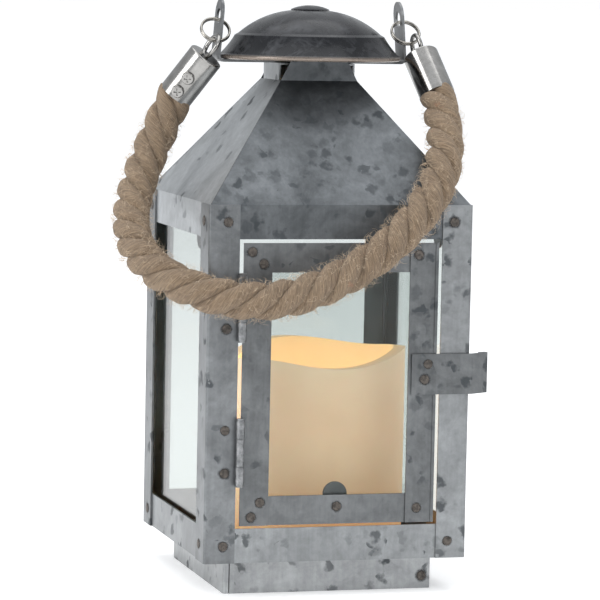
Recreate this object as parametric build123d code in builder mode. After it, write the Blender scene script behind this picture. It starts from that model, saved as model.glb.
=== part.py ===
from build123d import *

import os
from math import cos, hypot, pi, radians, sin, tan

# Candle lantern of galvanised sheet. +Z up, the door faces -Y, and the origin is the
# centre of the underside, on the surface that the lantern stands on. Millimetres.

# ---- driving dimensions -------------------------------------------------------------
body_w = 110.0  # across the outer faces of the corner posts
eave_z = 158.4  # top of the posts, where the roof panels fold
sheet = 0.8  # galvanised sheet
slack = 0.2  # play between pieces that lie side by side

plinth_h = 14.3
plinth_inset = 11.1  # plinth wall behind the post faces
plinth_flange = 7.0
seam_w = 0.4  # open seam where the plinth sheet is folded round

post_leg = 12.7  # leg seen from the front and the back
post_side_leg = 14.0  # leg seen from the sides
post_bend = 1.2  # outer radius of the fold

rail_top = 28.2
tray_lip = 8.0
skirt_z = 144.6  # lower edge of the roof skirts
neck_half = 16.2  # roof neck, half its width at the bend
neck_z = 206.8
hip_flange = 8.0  # fold of the side panels under the front and rear ones
front_tab_top = 217.0
front_tab_half = 11.0  # half width at its top edge
side_tab_half = 12.0
side_tab_fold = 6.0  # seat folded inwards for the strap

strap_w = 12.0
strap_t = 1.0
strap_z = 213.8  # underside of the strap
ear_foot_x = 40.0  # middle of the strap's thickness at the bend
ear_tip_x = 38.0
ear_top_z = 239.6
ear_bend = 2.0
ear_hole_z = 232.4
ear_hole_d = 6.5

cap_r = 38.0
cap_rim_z = 216.1
cap_roll_r = 1.1
cap_step_r = 30.4
cap_step_z = 224.9
cap_top_z = 235.3
cap_wall = 0.9
button_r = 8.0
button_h = 2.2
cap_rivet_r = 1.6

glass_t = 2.0
glass_top = 152.0
clip_r = 5.0
clip_t = 1.0
clip_stem_w = 4.0
clip_shift = 26.0  # towards the door, on the side windows

door_gap = 1.7  # between the door and the posts
door_top_gap = 1.5
door_foot_gap = 1.2
door_proud = 0.3  # door face in front of the post faces
strip_w = 11.8  # stiles and rails
lip_w = 1.2
lip_t = 0.4
door_glass_lap = 8.0  # glass behind the strips

hinge_len = 26.0
hinge_low_z = 59.4  # centre of the lower hinge
hinge_high_z = 117.5
barrel_r = 1.8
pin_r = 1.0
pin_play = 0.05
leaf_t = 0.6
leaf_w = 8.5
knuckle_end = 7.3
knuckle_gap = 0.15

latch_w = 16.5
latch_t = 1.0
latch_z = 89.9
latch_x = 30.0  # left end, on the right stile
latch_tip = 9.3
latch_angle = 30.0
latch_hem = 3.4

weld_r = 1.9
weld_h = 0.35

candle_x = 5.2  # the loose candle stands a little off centre
candle_r = 37.5
candle_foot = 0.3  # wax clears the floor, the battery box carries the candle
candle_bore_r = 32.5
candle_bore_z = 60.0
candle_cup_r = 28.0  # hollow underneath
candle_cup_top = 50.0
led_hole_r = 4.0
flame_r = 5.5
flame_h = 19.0

box_r = 27.6
box_top = 40.0
box_wall = 1.5
box_floor = 3.2
cell_r = 5.2
cell_len = 44.5
cell_nub = 1.0
cell_gap = 0.4
bay_play = 0.5
hatch_t = 1.5
hatch_w = 50.0
hatch_d = 24.6
hatch_ledge = 0.8
board_t = 1.6
switch_travel = 3.0
switch_w = 4.0
switch_l = 6.0
switch_y = 19.0
contact_t = 0.4
contact_boss = 1.0
contact_r = 2.6

ring_wire = 1.0
ring_r = 5.9  # centre line of the split ring
eye_wire = 1.9
eye_r = 4.9
ferrule_r = 7.35
ferrule_len = 21.0
ferrule_wall = 0.7
ferrule_cap = 1.0
rope_r = 7.5
rope_core_r = 6.5  # pressed into the ferrule
rope_core_len = 17.0
screw_r = 2.7
screw_h = 1.6
screw_round = 0.4
screw_shank_r = 1.3
screw_len = 4.5
screw_slot_l = 3.0
screw_slot_w = 0.7
screw_depths = (10.5, 17.5)

# Where the handle hangs: centre of each split ring, centre and normal of each ferrule's
# eye, the middle of each ferrule's top and the way down the ferrule.
hang = {
    "left": {
        "ring": (-41.2, -3.9, 226.8),
        "eye": ((-43.7, -7.8, 220.2), (0.85, 0.141, -0.508)),
        "top": (-45.5, -7.0, 216.2),
        "down": (-0.525, 0.335, -0.785),
        "screws": (-0.3, -0.95, 0.0),
    },
    "right": {
        "ring": (40.3, -3.9, 226.8),
        "eye": ((44.2, -7.7, 221.0), (0.983, 0.079, 0.167)),
        "top": (45.1, -10.3, 217.6),
        "down": (0.181, -0.604, -0.776),
        "screws": (0.5, 0.8, 0.0),
    },
}
ring_lean = 40.85  # degrees that both rings lean to the front

# Route of the rope, chosen by hand: from inside the left ferrule's mouth down in front of
# the door and up into the right ferrule's mouth.
rope_points = [
    (-55.8, -0.3, 201.5),
    (-61.4, 2.4, 188.0),
    (-68.2, -0.8, 174.0),
    (-74.4, -8.6, 162.2),
    (-79.2, -19.8, 152.4),
    (-81.4, -33.0, 144.0),
    (-79.6, -46.4, 136.2),
    (-73.0, -58.6, 129.8),
    (-62.0, -67.8, 125.0),
    (-48.6, -72.4, 122.0),
    (-34.4, -73.6, 121.6),
    (-20.4, -73.4, 124.2),
    (-6.8, -73.0, 129.6),
    (6.6, -72.4, 137.0),
    (18.6, -70.6, 146.0),
    (29.0, -67.0, 155.8),
    (37.6, -60.8, 166.2),
    (43.8, -51.2, 177.2),
    (47.8, -36.6, 190.0),
    (49.1, -21.0, 202.8),
]

# ---- what follows from them ---------------------------------------------------------
half = body_w / 2
wall_in = half - sheet  # inner face of the posts, where rails and skirts lie
rail_in = wall_in - sheet
plinth_half = half - plinth_inset
floor_z = plinth_h + sheet
pane_out = rail_in - sheet - 2 * slack  # fixed glass stands inside the tray's lip
slope_rise = neck_z - eave_z
slope_run = wall_in - neck_half
slope_t = sheet * hypot(slope_rise, slope_run) / slope_rise  # wall measured level
panel_lap = slope_t + 0.05

door_half = half - post_leg - door_gap
door_low = rail_top + door_foot_gap
door_high = skirt_z - door_top_gap
door_mid = (door_low + door_high) / 2
door_face = -half - door_proud
stile_in = door_half - strip_w
strip_back = door_face + sheet
rail_back = strip_back + sheet

hinge_x = -(half - post_leg + door_half) / 2
hinge_y = -half - barrel_r - 0.6 - door_proud / 2
post_edge_x = -(half - post_leg)

wax_z = floor_z + candle_foot

os.makedirs("parts", exist_ok=True)


def keep(piece, name):
    """Labels a finished piece and writes it under the name of its node."""
    piece.part.label = name
    export_step(piece.part, f"parts/{name}.step")


def screw_plane(top, down, side, depth):
    """Where a screw sits on a ferrule, its normal pointing out of the ferrule."""
    hint = Vector(*hang[side]["screws"])
    out = (hint - down * hint.dot(down)).normalized()
    return Plane(origin=top + down * depth + out * ferrule_r, z_dir=out)


def facing(side):
    """A plane on the middle of a side wall, x along the wall, y up and z outwards."""
    turn = {"front": 0, "right": 90, "rear": 180, "left": 270}[side]
    out = Vector(0, -1, 0).rotate(Axis.Z, turn)
    along = Vector(1, 0, 0).rotate(Axis.Z, turn)
    return Plane(origin=(0, 0, 0), x_dir=along, z_dir=out)


# ---- plinth and floor ---------------------------------------------------------------
with BuildPart() as plinth:
    with BuildSketch():
        Rectangle(2 * plinth_half, 2 * plinth_half)
        Rectangle(2 * (plinth_half - sheet), 2 * (plinth_half - sheet), mode=Mode.SUBTRACT)
    extrude(amount=plinth_h)
    fillet(plinth.edges().filter_by(Axis.Z).group_by(lambda e: abs(e.center().X))[-1], post_bend)
    with BuildSketch(Plane.XY.offset(plinth_h - sheet)):
        Rectangle(2 * plinth_half - sheet, 2 * plinth_half - sheet)
        Rectangle(
            2 * (plinth_half - plinth_flange),
            2 * (plinth_half - plinth_flange),
            mode=Mode.SUBTRACT,
        )
    extrude(amount=sheet)
    with Locations((-plinth_half + 2 * post_bend, -plinth_half, (plinth_h - sheet) / 2)):
        Box(seam_w, 3 * sheet, plinth_h - sheet, mode=Mode.SUBTRACT)
keep(plinth, "plinth")

with BuildPart() as base_plate:
    with BuildSketch():
        RectangleRounded(
            2 * (plinth_half - sheet - slack), 2 * (plinth_half - sheet - slack), post_bend
        )
    extrude(amount=sheet)
keep(base_plate, "base_plate")

with BuildPart() as floor_tray:
    tray_half = rail_in - slack
    with BuildSketch(Plane.XY.offset(plinth_h)):
        Rectangle(2 * tray_half, 2 * tray_half)
    extrude(amount=tray_lip)
    with BuildSketch(Plane.XY.offset(floor_z)):
        Rectangle(2 * (tray_half - sheet), 2 * (tray_half - sheet))
    extrude(amount=tray_lip, mode=Mode.SUBTRACT)
keep(floor_tray, "floor_tray")

# ---- corner posts -------------------------------------------------------------------
for side_x, across in ((-1, "left"), (1, "right")):
    for side_y, along in ((-1, "front"), (1, "rear")):
        with BuildPart() as post:
            with BuildSketch(Plane.XY.offset(plinth_h)):
                with BuildLine():
                    Polyline(
                        *[
                            (side_x * (half - u), side_y * (half - v))
                            for u, v in (
                                (0, 0),
                                (post_leg, 0),
                                (post_leg, sheet),
                                (sheet, sheet),
                                (sheet, post_side_leg),
                                (0, post_side_leg),
                            )
                        ],
                        close=True,
                    )
                make_face()
            extrude(amount=eave_z - plinth_h)
            corner = (side_x * half, side_y * half, eave_z)
            upright = post.edges().filter_by(Axis.Z).sort_by_distance(corner)[0]
            fillet(upright, post_bend)
        keep(post, f"post_{along}_{across}")

# ---- bottom rails -------------------------------------------------------------------
# The front and rear rails end short of the side rails.
for side in ("front", "rear", "left", "right"):
    reach = rail_in - slack if side in ("front", "rear") else wall_in - slack
    with BuildPart() as rail:
        with BuildSketch(facing(side).offset(rail_in)):
            with Locations((0, (plinth_h + rail_top) / 2)):
                Rectangle(2 * reach, rail_top - plinth_h)
        extrude(amount=sheet)
    keep(rail, f"rail_{side}")

# ---- roof ---------------------------------------------------------------------------
# Front and rear panels lie over the folded hips of the side panels.
for side in ("front", "rear"):
    wall = facing(side)
    sign = wall.z_dir.Y
    with BuildPart() as panel:
        with BuildSketch(Plane.XY.offset(eave_z)):
            with Locations((0, sign * (wall_in - slope_t / 2))):
                Rectangle(2 * wall_in, slope_t)
        with BuildSketch(Plane.XY.offset(neck_z)):
            with Locations((0, sign * (neck_half - slope_t / 2))):
                Rectangle(2 * neck_half, slope_t)
        loft()
        with BuildSketch(wall.offset(wall_in - sheet)):
            with Locations((0, (skirt_z + eave_z) / 2)):
                Rectangle(2 * (rail_in - slack), eave_z - skirt_z)
        extrude(amount=sheet)
        with BuildSketch(wall.offset(neck_half - sheet)):
            with BuildLine():
                Polyline(
                    (-neck_half, neck_z),
                    (neck_half, neck_z),
                    (front_tab_half, front_tab_top),
                    (-front_tab_half, front_tab_top),
                    close=True,
                )
            make_face()
        extrude(amount=sheet)
    keep(panel, f"roof_{side}")

for side, sign in (("left", -1), ("right", 1)):
    wall = facing(side)
    with BuildPart() as panel:
        for inset, mode in ((0, Mode.ADD), (slope_t, Mode.SUBTRACT)):
            with BuildSketch(Plane.XY.offset(eave_z)):
                Rectangle(2 * (wall_in - inset), 2 * (wall_in - panel_lap - inset))
            with BuildSketch(Plane.XY.offset(neck_z)):
                Rectangle(2 * (neck_half - inset), 2 * (neck_half - panel_lap - inset))
            loft(mode=mode)
        with BuildSketch(Plane.XZ):
            with BuildLine():
                Polyline(
                    (sign * (wall_in + sheet), eave_z),
                    (sign * (wall_in - hip_flange), eave_z),
                    (sign * (neck_half - hip_flange), neck_z),
                    (sign * (wall_in + sheet), neck_z),
                    close=True,
                )
            make_face()
        extrude(amount=body_w, both=True, mode=Mode.INTERSECT)
        with BuildSketch(wall.offset(wall_in - sheet)):
            with Locations((0, (skirt_z + eave_z) / 2)):
                Rectangle(2 * (wall_in - slack), eave_z - skirt_z)
        extrude(amount=sheet)
        with BuildSketch(wall.offset(neck_half - sheet)):
            with Locations((0, (neck_z + strap_z) / 2)):
                Rectangle(2 * side_tab_half, strap_z - neck_z)
        extrude(amount=sheet)
        with BuildSketch(wall.offset(neck_half - side_tab_fold)):
            with Locations((0, strap_z - sheet / 2)):
                Rectangle(2 * side_tab_half, sheet)
        extrude(amount=side_tab_fold)
    keep(panel, f"roof_{side}")

# ---- cap, strap and rivet -----------------------------------------------------------
shoulder_z = cap_step_z + (cap_top_z - cap_step_z) * 0.8
seat_r = button_r + 2 * slack  # flat seat of the button, pressed in the dome
with BuildPart() as cap:
    with BuildSketch(Plane.XZ):
        with BuildLine() as crown:
            outer_foot = (cap_r - cap_roll_r, cap_rim_z + cap_roll_r)
            flare = ThreePointArc(
                outer_foot,
                (cap_r - 3.2, cap_rim_z + 3.4),
                (cap_step_r + 0.6, cap_step_z),
            )
            step = Line(flare @ 1, (cap_step_r - 1.0, cap_step_z + 0.9))
            dome = ThreePointArc(
                step @ 1,
                (cap_step_r * 0.56, shoulder_z),
                (seat_r, cap_top_z),
            )
            Polyline(
                dome @ 1,
                (0, cap_top_z),
                (0, cap_top_z - cap_wall),
                (seat_r, cap_top_z - cap_wall),
            )
            under = ThreePointArc(
                (seat_r, cap_top_z - cap_wall),
                (cap_step_r * 0.55, shoulder_z - cap_wall),
                (cap_step_r - 1.6, cap_step_z + 0.1),
            )
            inner = Line(under @ 1, (cap_step_r - 0.2, cap_step_z - 0.8))
            lining = ThreePointArc(
                inner @ 1,
                (cap_r - 4.0, cap_rim_z + 2.7),
                (cap_r - cap_roll_r - 0.6, cap_rim_z),
            )
            Line(lining @ 1, outer_foot)
        make_face()
        with Locations((cap_r - cap_roll_r, cap_rim_z)):
            Circle(cap_roll_r)
    revolve(axis=Axis.Z)
    with Locations((0, 0, cap_top_z)):
        Cylinder(cap_rivet_r + slack, 8 * cap_wall, mode=Mode.SUBTRACT)
keep(cap, "cap")

with BuildPart() as handle_strap:
    with BuildSketch(Plane.XZ):
        with BuildLine():
            FilletPolyline(
                (-ear_tip_x, ear_top_z),
                (-ear_foot_x, strap_z + strap_t / 2),
                (ear_foot_x, strap_z + strap_t / 2),
                (ear_tip_x, ear_top_z),
                radius=ear_bend,
            )
        trace(line_width=strap_t)
    extrude(amount=strap_w / 2, both=True)
    with BuildSketch(Plane.YZ):
        with Locations((0, ear_top_z - strap_w / 2)):
            Circle(strap_w / 2)
        with Locations((0, strap_z - strap_t)):
            Rectangle(
                strap_w, ear_top_z - strap_w / 2 - strap_z + strap_t, align=(Align.CENTER, Align.MIN)
            )
    extrude(amount=ear_foot_x + 2 * strap_t, both=True, mode=Mode.INTERSECT)
    with BuildSketch(Plane.YZ):
        with Locations((0, ear_hole_z)):
            Circle(ear_hole_d / 2)
    extrude(amount=ear_foot_x + 2 * strap_t, both=True, mode=Mode.SUBTRACT)
    with Locations((0, 0, strap_z)):
        Cylinder(cap_rivet_r + slack, 4 * strap_t, mode=Mode.SUBTRACT)
keep(handle_strap, "handle_strap")

# One long rivet holds the cap on the strap, its head a soft low button.
with BuildPart() as cap_rivet:
    with BuildSketch(Plane.XZ):
        with BuildLine():
            foot = strap_z - 2 * strap_t
            button_foot = cap_top_z + slack / 2
            side = Polyline(
                (0, cap_top_z + button_h),
                (0, foot),
                (2 * cap_rivet_r, foot),
                (2 * cap_rivet_r, strap_z - slack / 2),
                (cap_rivet_r, strap_z - slack / 2),
                (cap_rivet_r, button_foot),
                (button_r, button_foot),
                (button_r, button_foot + 2 * slack),
            )
            Spline(side @ 1, side @ 0, tangents=((-1, 0.5), (-1, 0)))
        make_face()
    revolve(axis=Axis.Z)
keep(cap_rivet, "cap_rivet")

# ---- fixed windows ------------------------------------------------------------------
pane_half = pane_out - glass_t - 2 * slack
for side in ("left", "right", "rear"):
    with BuildPart() as pane:
        with BuildSketch(facing(side).offset(pane_out - glass_t)):
            with Locations((0, (floor_z + slack + glass_top) / 2)):
                Rectangle(2 * pane_half, glass_top - floor_z - slack)
        extrude(amount=glass_t)
    keep(pane, f"glass_{side}")

# Each clip hooks over the pane's top edge and presses a disc on its inner face.
with BuildPart() as glass_clips:
    for side, shift in (("left", clip_shift), ("right", -clip_shift), ("rear", 0.0)):
        inner = facing(side).offset(pane_out - glass_t - clip_t)
        disc_z = skirt_z - 0.9
        with BuildSketch(inner):
            with Locations((shift, disc_z)):
                Circle(clip_r)
            with Locations((shift, disc_z)):
                Rectangle(
                    clip_stem_w, glass_top + clip_t + slack - disc_z, align=(Align.CENTER, Align.MIN)
                )
        extrude(amount=clip_t)
        with BuildSketch(inner):
            with Locations((shift, glass_top + slack)):
                Rectangle(clip_stem_w, clip_t, align=(Align.CENTER, Align.MIN))
        extrude(amount=rail_in - (pane_out - glass_t - clip_t))
keep(glass_clips, "glass_clips")

# ---- spot welds of the body ---------------------------------------------------------
weld_low = (plinth_h + rail_top) / 2
weld_high = (skirt_z + eave_z) / 2
post_weld_x = half - post_leg * 0.62
with BuildPart() as body_welds:
    for side in ("front", "rear", "left", "right"):
        leg = post_leg if side in ("front", "rear") else post_side_leg
        x = half - leg * 0.62
        spots = [(-x, weld_high), (x, weld_high), (-x, weld_low), (x, weld_low)]
        if side == "front":
            spots += [
                (-post_weld_x, z + dz)
                for z in (hinge_low_z, hinge_high_z)
                for dz in (-hinge_len / 3, hinge_len / 3)
            ]
        with BuildSketch(facing(side).offset(half)):
            with Locations(*spots):
                Circle(weld_r)
        extrude(amount=weld_h, taper=30)
    with BuildSketch(facing("front").offset(plinth_half)):
        with Locations((plinth_half - 4.0, 5.2)):
            Circle(weld_r)
    extrude(amount=weld_h, taper=30)
keep(body_welds, "body_welds")

# ---- hinges -------------------------------------------------------------------------
axis_plane = Plane.XY.offset
for place, middle in (("lower", hinge_low_z), ("upper", hinge_high_z)):
    low = middle - hinge_len / 2
    centre_low = low + knuckle_end + knuckle_gap
    centre_len = hinge_len - 2 * (knuckle_end + knuckle_gap)
    leaf_back = -wall_in + leaf_t + slack / 2

    # Leaf of the post: two outer knuckles, a web through the gap and a wing behind the post.
    with BuildPart() as post_leaf:
        web_x = post_edge_x + slack / 2
        for z in (low, middle + hinge_len / 2 - knuckle_end):
            with BuildSketch(axis_plane(z)):
                with Locations((hinge_x, hinge_y)):
                    Circle(barrel_r)
                with Locations((web_x, hinge_y)):
                    Rectangle(leaf_t, leaf_back - hinge_y, align=(Align.MIN, Align.MIN))
            extrude(amount=knuckle_end)
        with BuildSketch(axis_plane(low)):
            with Locations((web_x + leaf_t, leaf_back)):
                Rectangle(leaf_w, leaf_t, align=(Align.MAX, Align.MAX))
        extrude(amount=hinge_len)
        with BuildSketch(axis_plane(low)):
            with Locations((hinge_x, hinge_y)):
                Circle(pin_r + pin_play)
        extrude(amount=hinge_len, mode=Mode.SUBTRACT)
    keep(post_leaf, f"hinge_leaf_{place}")

    # Leaf of the door: the middle knuckle and a wing behind the stile.
    with BuildPart() as door_leaf:
        web_x = -door_half - slack / 2
        wing_back = strip_back + leaf_t + slack / 2
        with BuildSketch(axis_plane(centre_low)):
            with Locations((hinge_x, hinge_y)):
                Circle(barrel_r - 0.15)
            with Locations((web_x, hinge_y)):
                Rectangle(leaf_t, wing_back - hinge_y, align=(Align.MAX, Align.MIN))
        extrude(amount=centre_len)
        with BuildSketch(axis_plane(centre_low)):
            with Locations((web_x - leaf_t, wing_back)):
                Rectangle(leaf_w, leaf_t, align=(Align.MIN, Align.MAX))
        extrude(amount=centre_len)
        with BuildSketch(axis_plane(centre_low)):
            with Locations((hinge_x, hinge_y)):
                Circle(pin_r + pin_play)
        extrude(amount=centre_len, mode=Mode.SUBTRACT)
    keep(door_leaf, f"door_leaf_{place}")

    with BuildPart() as hinge_pin:
        with BuildSketch(axis_plane(low - 0.5)):
            with Locations((hinge_x, hinge_y)):
                Circle(pin_r)
        extrude(amount=hinge_len + 1.0)
        for z in (low - 0.8, low + hinge_len + 0.1):
            with BuildSketch(axis_plane(z)):
                with Locations((hinge_x, hinge_y)):
                    Circle(barrel_r - 0.3)
            extrude(amount=0.7)
    keep(hinge_pin, f"hinge_pin_{place}")

# ---- door ---------------------------------------------------------------------------
front = facing("front")
for side, sign in (("left", -1), ("right", 1)):
    with BuildPart() as stile:
        with BuildSketch(front.offset(-strip_back)):
            with Locations((sign * (door_half - strip_w / 2), door_mid)):
                Rectangle(strip_w, door_high - door_low)
        extrude(amount=sheet)
        if side == "right":
            with BuildSketch(front.offset(-door_face)):
                with Locations((door_half - lip_w / 2, door_mid)):
                    Rectangle(lip_w, door_high - door_low)
                with Locations((door_half, latch_z)):
                    Rectangle(strip_w, latch_w + 4 * slack, mode=Mode.SUBTRACT)
            extrude(amount=lip_t)
    keep(stile, f"door_stile_{side}")

for place, z in (("bottom", door_low + strip_w / 2), ("top", door_high - strip_w / 2)):
    with BuildPart() as cross:
        with BuildSketch(front.offset(-rail_back)):
            with Locations((0, z)):
                Rectangle(2 * (door_half - slack), strip_w)
        extrude(amount=sheet)
    keep(cross, f"door_rail_{place}")

# Behind the rails the pane clears the hinge wings with its edges.
glass_face = rail_back + slack
glass_half = stile_in + door_glass_lap
with BuildPart() as door_glass:
    low_edge = door_low + strip_w - door_glass_lap
    high_edge = door_high - strip_w + door_glass_lap
    with BuildSketch(front.offset(-glass_face - glass_t)):
        with Locations((0, (low_edge + high_edge) / 2)):
            Rectangle(2 * glass_half, high_edge - low_edge)
    extrude(amount=glass_t)
keep(door_glass, "door_glass")

with BuildPart() as door_clip:
    clip_face = front.offset(-glass_face - glass_t - slack / 2 - clip_t)
    disc_z = door_low + strip_w
    with BuildSketch(clip_face):
        with Locations((0, disc_z)):
            Circle(clip_r)
        with Locations((0, low_edge - slack - clip_t)):
            Rectangle(
                clip_stem_w, disc_z - low_edge + slack + clip_t, align=(Align.CENTER, Align.MIN)
            )
    extrude(amount=clip_t)
    with BuildSketch(clip_face):
        with Locations((0, low_edge - slack)):
            Rectangle(clip_stem_w, clip_t, align=(Align.CENTER, Align.MAX))
    extrude(amount=clip_t + glass_t + 1.5 * slack)
keep(door_clip, "door_clip")

with BuildPart() as latch:
    bend_x = half + 0.6
    mid_y = door_face - latch_t / 2
    tip = Vector(
        bend_x + latch_tip * cos(radians(latch_angle)),
        mid_y + latch_tip * sin(radians(latch_angle)),
    )
    hem_way = Vector(-cos(radians(latch_angle)), -sin(radians(latch_angle)))
    side_way = Vector(-sin(radians(latch_angle)), cos(radians(latch_angle)))
    fold_out = tip + side_way * (latch_t + 0.5)
    with BuildSketch(Plane.XY.offset(latch_z - latch_w / 2)):
        with BuildLine():
            FilletPolyline(
                (latch_x, mid_y),
                (bend_x, mid_y),
                (tip.X, tip.Y),
                (fold_out.X, fold_out.Y),
                (fold_out.X + latch_hem * hem_way.X, fold_out.Y + latch_hem * hem_way.Y),
                radius=0.7,
            )
        trace(line_width=latch_t)
    extrude(amount=latch_w)
keep(latch, "latch")

with BuildPart() as door_welds:
    inset = strip_w / 2
    near = 2.4  # half the spacing of a pair of welds
    spots = [
        (-door_half + inset - near, door_high - inset + near),
        (-door_half + inset + near, door_high - inset - near),
        (door_half - inset - near, door_high - inset + near / 2),
        (-door_half + inset + near, door_low + strip_w - near),
        (-door_half + inset - near / 2, door_low + inset - near),
        (door_half - inset - near / 2, door_low + inset),
        (0, door_low + inset + near / 2),
    ]
    levels = [0, 0, 0, 0, 0, 0, sheet]
    for spot, level in zip(spots, levels):
        with BuildSketch(front.offset(-door_face - level)):
            with Locations(spot):
                Circle(weld_r)
        extrude(amount=weld_h, taper=30)
    with BuildSketch(front.offset(-door_face + latch_t)):
        with Locations(
            (latch_x + latch_w / 2.4, latch_z + latch_w / 4),
            (latch_x + latch_w / 3.0, latch_z - latch_w / 8),
        ):
            Circle(weld_r)
    extrude(amount=weld_h, taper=30)
keep(door_welds, "door_welds")

# ---- candle -------------------------------------------------------------------------
# The wavy rim is cut by one profile, swept level across the candle.
wave_turn = 39.0
wave = Plane(
    origin=(candle_x, 0, 0),
    x_dir=(cos(radians(wave_turn)), sin(radians(wave_turn)), 0),
    z_dir=(sin(radians(wave_turn)), -cos(radians(wave_turn)), 0),
)
candle_high = 97.4
with BuildPart() as candle_shell:
    with BuildSketch(Plane.XY.offset(wax_z)):
        with Locations((candle_x, 0)):
            Circle(candle_r)
    extrude(amount=candle_high - wax_z)
    with BuildSketch(wave):
        with BuildLine():
            over = candle_high + 8
            rim = Spline(
                (-candle_r - 4, candle_high - 2.0),
                (-candle_r * 0.62, candle_high - 7.4),
                (candle_r * 0.55, candle_high - 1.0),
                (candle_r + 4, candle_high - 8.0),
            )
            Polyline(rim @ 1, (candle_r + 4, over), (-candle_r - 4, over), rim @ 0)
        make_face()
    extrude(amount=2 * candle_r, both=True, mode=Mode.SUBTRACT)
    with BuildSketch(Plane.XY.offset(candle_bore_z)):
        with Locations((candle_x, 0)):
            Circle(candle_bore_r)
    extrude(amount=candle_high, mode=Mode.SUBTRACT)
    with BuildSketch(Plane.XY.offset(wax_z)):
        with Locations((candle_x, 0)):
            Circle(candle_cup_r)
    extrude(amount=candle_cup_top - wax_z, mode=Mode.SUBTRACT)
    with BuildSketch(Plane.XY.offset(wax_z)):
        with Locations((candle_x, 0)):
            Circle(led_hole_r)
    extrude(amount=candle_high, mode=Mode.SUBTRACT)
    foot_edges = candle_shell.edges().filter_by(GeomType.CIRCLE).group_by(Axis.Z)[0]
    fillet(foot_edges.sort_by(SortBy.RADIUS)[-1], 1.5)
keep(candle_shell, "candle_shell")

with BuildPart() as candle_flame:
    axis = Axis((candle_x, 0, 0), (0, 0, 1))
    stem_z = box_top + board_t
    with BuildSketch(Plane(origin=(candle_x, 0, 0), x_dir=(1, 0, 0), z_dir=(0, -1, 0))):
        with BuildLine():
            base_z = candle_bore_z + slack
            Polyline(
                (0, base_z + flame_h),
                (0, stem_z),
                (led_hole_r - 2 * slack, stem_z),
                (led_hole_r - 2 * slack, base_z),
                (flame_r * 0.8, base_z),
            )
            Spline(
                (flame_r * 0.8, base_z),
                (flame_r, base_z + flame_h * 0.25),
                (flame_r * 0.55, base_z + flame_h * 0.66),
                (0, base_z + flame_h),
            )
        make_face()
    revolve(axis=axis)
keep(candle_flame, "candle_flame")

with BuildPart() as led_board:
    with BuildSketch(Plane.XY.offset(box_top)):
        with Locations((candle_x, 0)):
            Circle(box_r - slack)
    extrude(amount=board_t)
keep(led_board, "led_board")

bay_len = cell_len + 2 * (contact_t + contact_boss) + bay_play
bay_wid = 4 * cell_r + cell_gap + bay_play
ledge_z = floor_z + hatch_t + slack
bay_top = ledge_z + hatch_ledge + 2 * cell_r + bay_play
cell_z = bay_top - bay_play / 2 - cell_r
switch_slot = (switch_l + switch_travel + 2 * slack, switch_w + 2 * slack)
switch_x = candle_x - switch_travel / 2  # at rest, switched off

with BuildPart() as battery_box:
    with BuildSketch(Plane.XY.offset(floor_z)):
        with Locations((candle_x, 0)):
            Circle(box_r)
    extrude(amount=box_top - floor_z)
    with BuildSketch(Plane.XY.offset(floor_z + box_floor)):
        with Locations((candle_x, 0)):
            Circle(box_r - box_wall)
            Rectangle(
                bay_len + 2 * box_wall, bay_wid + 2 * box_wall, mode=Mode.SUBTRACT
            )
    extrude(amount=box_top - floor_z, mode=Mode.SUBTRACT)
    with BuildSketch(Plane.XY.offset(bay_top + box_wall)):
        with Locations((candle_x, 0)):
            Circle(box_r - box_wall)
    extrude(amount=box_top - floor_z, mode=Mode.SUBTRACT)
    with BuildSketch(Plane.XY.offset(floor_z)):
        with Locations((candle_x, 0)):
            Rectangle(bay_len, bay_wid)
    extrude(amount=bay_top - floor_z, mode=Mode.SUBTRACT)
    with BuildSketch(Plane.XY.offset(floor_z)):
        with Locations((candle_x, 0)):
            Rectangle(hatch_w + 2 * slack, hatch_d + 2 * slack)
            Circle(box_r - box_wall / 2 + slack, mode=Mode.INTERSECT)
    extrude(amount=hatch_t + slack, mode=Mode.SUBTRACT)
    with BuildSketch(Plane.XY.offset(floor_z)):
        with Locations((candle_x, switch_y)):
            Rectangle(*switch_slot)
    extrude(amount=box_floor, mode=Mode.SUBTRACT)
keep(battery_box, "battery_box")

with BuildPart() as battery_hatch:
    with BuildSketch(Plane.XY.offset(floor_z + slack)):
        with Locations((candle_x, 0)):
            Rectangle(hatch_w, hatch_d)
            Circle(box_r - box_wall / 2, mode=Mode.INTERSECT)
    extrude(amount=hatch_t)
keep(battery_hatch, "battery_hatch")

with BuildPart() as batteries:
    for sign in (-1, 1):
        cell_y = sign * (cell_r + cell_gap / 2)
        start = candle_x - sign * cell_len / 2
        body = cell_len - cell_nub
        with BuildSketch(Plane(origin=(start, cell_y, cell_z), x_dir=(0, 1, 0), z_dir=(sign, 0, 0))):
            Circle(cell_r)
        extrude(amount=body)
        with BuildSketch(
            Plane(origin=(start + sign * body, cell_y, cell_z), x_dir=(0, 1, 0), z_dir=(sign, 0, 0))
        ):
            Circle(cell_r * 0.36)
        extrude(amount=cell_nub)
keep(batteries, "batteries")

with BuildPart() as battery_contacts:
    for end in (-1, 1):
        wall_x = candle_x + end * bay_len / 2
        plate = Plane(origin=(wall_x, 0, cell_z), x_dir=(0, 1, 0), z_dir=(-end, 0, 0))
        with BuildSketch(plate):
            Rectangle(bay_wid - 2 * slack, 1.6 * cell_r)
        extrude(amount=contact_t)
        with BuildSketch(plate.offset(contact_t)):
            with Locations((cell_r, 0), (-cell_r, 0)):
                Circle(contact_r)
        extrude(amount=contact_boss, taper=25)
keep(battery_contacts, "battery_contacts")

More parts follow.
